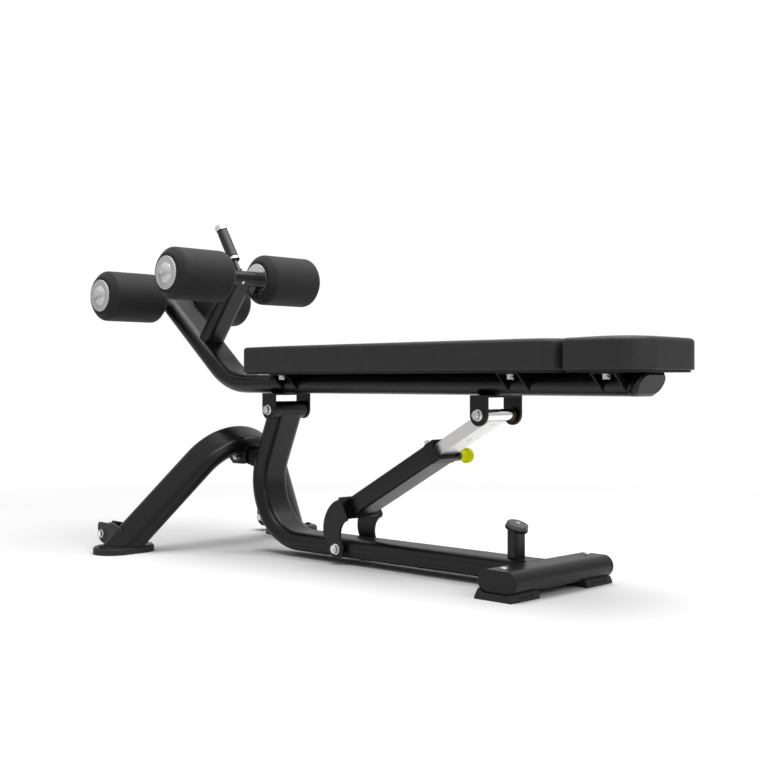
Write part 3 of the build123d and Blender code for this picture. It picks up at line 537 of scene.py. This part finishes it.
def blown_sheet(low, high, corners):
    """Heights of a cloth sheet blown up over the padding, held along the pad's outline."""
    across = CLOTH_ACROSS
    along = int(across * (high.x - low.x) / (high.y - low.y))
    bm = bmesh.new()
    grid = []
    for i in range(along + 1):
        for k in range(across + 1):
            spot = (low.x + (high.x - low.x) * i / along, low.y + (high.y - low.y) * k / across, 0)
            grid.append(bm.verts.new(spot))
    for i in range(along):
        for k in range(across):
            here = i * (across + 1) + k
            there = here + across + 1
            bm.faces.new((grid[here], grid[there], grid[there + 1], grid[here + 1]))
    sheet = mesh_object("blown_sheet", bm, by_slot["upholstery"])
    edge = [
        v.index for v in sheet.data.vertices
        if not inside_outline(v.co.x, v.co.y, low, high, corners, PAD_EDGE / 2)
    ]
    held = sheet.vertex_groups.new(name="held")
    held.add(edge, 1.0, "REPLACE")
    cloth = sheet.modifiers.new("Cloth", "CLOTH")
    cloth.settings.quality = CLOTH_QUALITY
    cloth.settings.vertex_group_mass = held.name
    cloth.settings.use_pressure = True
    cloth.settings.uniform_pressure_force = CLOTH_PRESSURE
    cloth.settings.effector_weights.gravity = 0
    cloth.settings.tension_stiffness = CLOTH_STRETCH
    cloth.settings.compression_stiffness = CLOTH_STRETCH
    cloth.settings.bending_stiffness = CLOTH_BEND
    cloth.collision_settings.use_collision = False
    scene = bpy.context.scene
    for step in range(1, CLOTH_FRAMES + 1):
        scene.frame_set(step)
    graph = bpy.context.evaluated_depsgraph_get()
    heights = [abs(v.co.z) for v in sheet.evaluated_get(graph).data.vertices]
    bpy.data.objects.remove(sheet)
    scene.frame_set(1)
    top = max(heights)
    rows = [[h / top for h in heights[i * (across + 1):(i + 1) * (across + 1)]] for i in range(along + 1)]

    def height(x, y):
        u = min(max((x - low.x) / (high.x - low.x), 0.0), 1.0) * along
        v = min(max((y - low.y) / (high.y - low.y), 0.0), 1.0) * across
        i, k = min(int(u), along - 1), min(int(v), across - 1)
        u, v = u - i, v - k
        near = rows[i][k] * (1 - v) + rows[i][k + 1] * v
        far = rows[i + 1][k] * (1 - v) + rows[i + 1][k + 1] * v
        return near * (1 - u) + far * u

    return height


def build_pad(node, name, corners):
    """Pad cover whose top is raised by the blown sheet."""
    low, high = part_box(node)
    pad = pad_shell(name, low, high, corners)
    height = blown_sheet(low, high, corners)
    for vertex in pad.data.vertices:
        lift = max(vertex.co.z - (high.z - PAD_EDGE), 0.0) / PAD_EDGE
        vertex.co.z += PAD_CROWN * lift * height(vertex.co.x, vertex.co.y)
    smooth(pad)
    pad.data.set_sharp_from_angle(angle=PAD_SHARP)
    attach(pad, "bench")
    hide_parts(node)


build_pad("main_pad", "main_pad_cover", MAIN_CORNERS)
build_pad("head_pad", "head_pad_cover", HEAD_CORNERS)


# =====================================================================
# FOAM ROLLERS
# =====================================================================
def soft_corner(corner, before, after):
    """Points rounding a profile corner, from the side it is reached on to the side it is left on."""
    points = []
    for i in range(FOAM_CORNER_STEPS + 1):
        t = i / FOAM_CORNER_STEPS
        points.append(tuple(
            corner[k] + FOAM_SOFT * (before[k] * (1 - t) ** 2 + after[k] * t**2) for k in (0, 1)
        ))
    return points


def build_roller(node):
    """Thick foam sleeve with broad rounded ends, dished where the end discs press on it."""
    low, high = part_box(node)
    middle = (low + high) / 2
    radius = (high.x - low.x) / 2
    half = (high.y - low.y) / 2
    end = [(FOAM_BORE_R, half - FOAM_DISH), (FOAM_DISC_R - FOAM_RIM, half - FOAM_DISH)]
    end += soft_corner((radius - FOAM_BEVEL, half), (-0.6, 0), (0.7, -0.7))
    end += soft_corner((radius, half - FOAM_BEVEL), (-0.7, 0.7), (0, -1))
    body = [(radius, half * share) for share in (0.7, 0.5, 0.25, 0.0)]
    upper = end + body
    profile = upper + [(r, -h) for r, h in reversed(upper[:-1])]
    roller = lathe(node + "_foam", profile, by_slot["foam"], steps=FOAM_STEPS)
    for vertex in roller.data.vertices:
        outward = Vector((vertex.co.x, vertex.co.y, 0))
        if outward.length > FOAM_DISC_R:
            wave = noise.noise(vertex.co * FOAM_UNEVEN_SCALE + middle * FOAM_UNEVEN_SHIFT)
            vertex.co += outward.normalized() * wave * FOAM_UNEVEN
    roller.data.transform(Matrix.Rotation(math.radians(90), 4, "X"))
    roller.data.transform(Matrix.Translation(middle))
    subdivide = roller.modifiers.new("Subdivide", "SUBSURF")
    subdivide.levels = 1
    subdivide.render_levels = 1
    bake(roller)
    smooth(roller)
    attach(roller, node)
    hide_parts(node)


for level in ("upper", "lower"):
    for hand in ("right", "left"):
        build_roller(f"roller_{level}_{hand}")


# =====================================================================
# HANDLE GRIP
# =====================================================================
def build_grip():
    """Rubber sleeve with softly rolled ends and a barely swollen middle."""
    low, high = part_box("handle_grip")
    middle = (low + high) / 2
    radius = (high.y - low.y) / 2
    length = ((high.z - low.z) - 2 * radius * math.cos(GRIP_LEAN)) / math.sin(GRIP_LEAN)
    half = length / 2
    outer = []
    for i in range(2 * GRIP_HALF_STEPS + 1):
        share = -1 + i / GRIP_HALF_STEPS
        swell = GRIP_SWELL * (1 - share**2)
        rolled = GRIP_LIP * max(0, (abs(share) - GRIP_ROLL_START) / GRIP_ROLL_SHARE) ** 2
        outer.append((radius - GRIP_SLIM + swell - rolled, half * share))
    profile = [(GRIP_BORE, -half)] + outer + [(GRIP_BORE, half)]
    grip = lathe("handle_grip_sleeve", profile, grip_skin, steps=GRIP_STEPS)
    lean = Vector((-math.cos(GRIP_LEAN), 0, math.sin(GRIP_LEAN)))
    grip.data.transform(lean.to_track_quat("Z", "Y").to_matrix().to_4x4())
    grip.data.transform(Matrix.Translation(middle))
    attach(grip, "bench")
    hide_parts("handle_grip")


build_grip()


# =====================================================================
# POSITION MARKS
# =====================================================================
def build_mark(index):
    """A digit between two short dashes, printed on the underside of the adjustment bar."""
    low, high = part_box("strut_sleeve")
    pivot = (low + high) / 2
    under = Vector((bar_axis.z, 0, -bar_axis.x))
    text = bpy.data.curves.new(f"mark_text_{index}", "FONT")
    text.body = f"- {index} -"
    text.size = MARK_SIZE
    text.align_x = "CENTER"
    text.align_y = "CENTER"
    text.extrude = MARK_THICK
    holder = bpy.data.objects.new("mark_holder", text)
    bpy.context.scene.collection.objects.link(holder)
    bpy.context.view_layer.update()
    graph = bpy.context.evaluated_depsgraph_get()
    mesh = bpy.data.meshes.new_from_object(holder.evaluated_get(graph))
    bpy.data.objects.remove(holder)
    mark = bpy.data.objects.new(f"position_mark_{index}", mesh)
    bpy.context.scene.collection.objects.link(mark)
    mark.data.materials.clear()
    mark.data.materials.append(mark_ink)
    across = under.cross(bar_axis)
    down_bar = MARK_FIRST + MARK_STEP * (index - 1)
    spot = pivot + under * (BAR_HALF_H + MARK_THICK) - bar_axis * down_bar
    turn = Matrix((across, bar_axis, across.cross(bar_axis))).transposed().to_4x4()
    mesh.transform(Matrix.Translation(spot) @ turn)
    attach(mark, "strut_inner")


for index in (1, 2):
    build_mark(index)


# =====================================================================
# STUDIO
# =====================================================================
def build_floor():
    """Pale floor that fades into the white backdrop away from the object and throws little light back up."""
    bm = bmesh.new()
    bmesh.ops.create_grid(bm, x_segments=1, y_segments=1, size=FLOOR_HALF)
    finish = Finish("studio_floor", grey(0.9), 0.9, specular=0.0)
    tree = finish.tree
    path = finish.node("ShaderNodeLightPath")
    tint = finish.node("ShaderNodeMix", data_type="RGBA")
    tint.inputs["A"].default_value = (*grey(FLOOR_UNSEEN), 1)
    tint.inputs["B"].default_value = (*grey(FLOOR_SEEN), 1)
    bright = finish.node("ShaderNodeMath", operation="MAXIMUM")
    tree.links.new(path.outputs["Is Camera Ray"], bright.inputs[0])
    tree.links.new(path.outputs["Is Glossy Ray"], bright.inputs[1])
    tree.links.new(bright.outputs["Value"], tint.inputs["Factor"])
    tree.links.new(tint.outputs["Result"], finish.shader.inputs["Base Color"])
    distance = finish.node("ShaderNodeVectorMath", operation="LENGTH")
    tree.links.new(finish.place, distance.inputs[0])
    fade = finish.ramp(distance.outputs["Value"], 0.0, 1.0, FLOOR_FADE[0], FLOOR_FADE[1])
    seen = finish.node("ShaderNodeMath", operation="MULTIPLY")
    tree.links.new(fade, seen.inputs[0])
    tree.links.new(path.outputs["Is Camera Ray"], seen.inputs[1])
    white = finish.node("ShaderNodeEmission")
    mix = finish.node("ShaderNodeMixShader")
    tree.links.new(seen.outputs["Value"], mix.inputs["Fac"])
    tree.links.new(finish.shader.outputs["BSDF"], mix.inputs[1])
    tree.links.new(white.outputs["Emission"], mix.inputs[2])
    tree.links.new(mix.outputs["Shader"], tree.nodes["Material Output"].inputs["Surface"])
    floor = mesh_object("studio_floor", bm, finish.material)


def dome(tree, low, high, strength):
    """Soft dome of light, from one grey at the bottom to another at the top."""
    made = tree.nodes.new("ShaderNodeBackground")
    place = tree.nodes.new("ShaderNodeTexCoord")
    split = tree.nodes.new("ShaderNodeSeparateXYZ")
    heights = tree.nodes.new("ShaderNodeValToRGB")
    heights.color_ramp.elements[0].position = 0.0
    heights.color_ramp.elements[0].color = (*grey(low), 1)
    heights.color_ramp.elements[1].position = DOME_TOP
    heights.color_ramp.elements[1].color = (*grey(high), 1)
    tree.links.new(place.outputs["Generated"], split.inputs["Vector"])
    tree.links.new(split.outputs["Z"], heights.inputs["Fac"])
    tree.links.new(heights.outputs["Color"], made.inputs["Color"])
    made.inputs["Strength"].default_value = strength
    return made.outputs["Background"]


def build_world():
    """White behind the object, a bright dome in its mirrors and a dimmer one for soft light."""
    world = bpy.data.worlds.new("studio")
    bpy.context.scene.world = world
    world.use_nodes = True
    tree = world.node_tree
    tree.nodes.clear()
    output = tree.nodes.new("ShaderNodeOutputWorld")
    path = tree.nodes.new("ShaderNodeLightPath")
    seen = tree.nodes.new("ShaderNodeBackground")
    seen.inputs["Color"].default_value = (1, 1, 1, 1)
    seen.inputs["Strength"].default_value = 1.0
    glossy_mix = tree.nodes.new("ShaderNodeMixShader")
    camera_mix = tree.nodes.new("ShaderNodeMixShader")
    tree.links.new(path.outputs["Is Glossy Ray"], glossy_mix.inputs["Fac"])
    tree.links.new(dome(tree, *SOFT_GREYS, SOFT_LIGHT), glossy_mix.inputs[1])
    tree.links.new(dome(tree, *MIRRORED_GREYS, MIRRORED_LIGHT), glossy_mix.inputs[2])
    tree.links.new(path.outputs["Is Camera Ray"], camera_mix.inputs["Fac"])
    tree.links.new(glossy_mix.outputs["Shader"], camera_mix.inputs[1])
    tree.links.new(seen.outputs["Background"], camera_mix.inputs[2])
    tree.links.new(camera_mix.outputs["Shader"], output.inputs["Surface"])


def area_light(name, place, aim, size, power):
    """Rectangular lamp turned to face a point, unseen by the camera."""
    data = bpy.data.lights.new(name, "AREA")
    data.shape = "RECTANGLE"
    data.size, data.size_y = size
    data.energy = power
    lamp = bpy.data.objects.new(name, data)
    bpy.context.scene.collection.objects.link(lamp)
    lamp.location = place
    lamp.rotation_mode = "QUATERNION"
    lamp.rotation_quaternion = (Vector(aim) - Vector(place)).to_track_quat("-Z", "Y")
    lamp.visible_camera = False


def build_camera():
    """Low camera, almost level."""
    data = bpy.data.cameras.new("camera")
    data.lens = CAMERA_LENS
    data.clip_start, data.clip_end = CAMERA_CLIP
    camera = bpy.data.objects.new("camera", data)
    bpy.context.scene.collection.objects.link(camera)
    camera.location = CAMERA_PLACE
    camera.rotation_euler = Euler((math.radians(90 - CAMERA_DROP), 0, math.radians(CAMERA_AZIMUTH)))
    bpy.context.scene.camera = camera


build_floor()
build_world()
area_light("overhead", *OVERHEAD_LAMP)
area_light("head_side", *HEAD_SIDE_LAMP)
build_camera()
bpy.context.scene.view_settings.view_transform = "Standard"
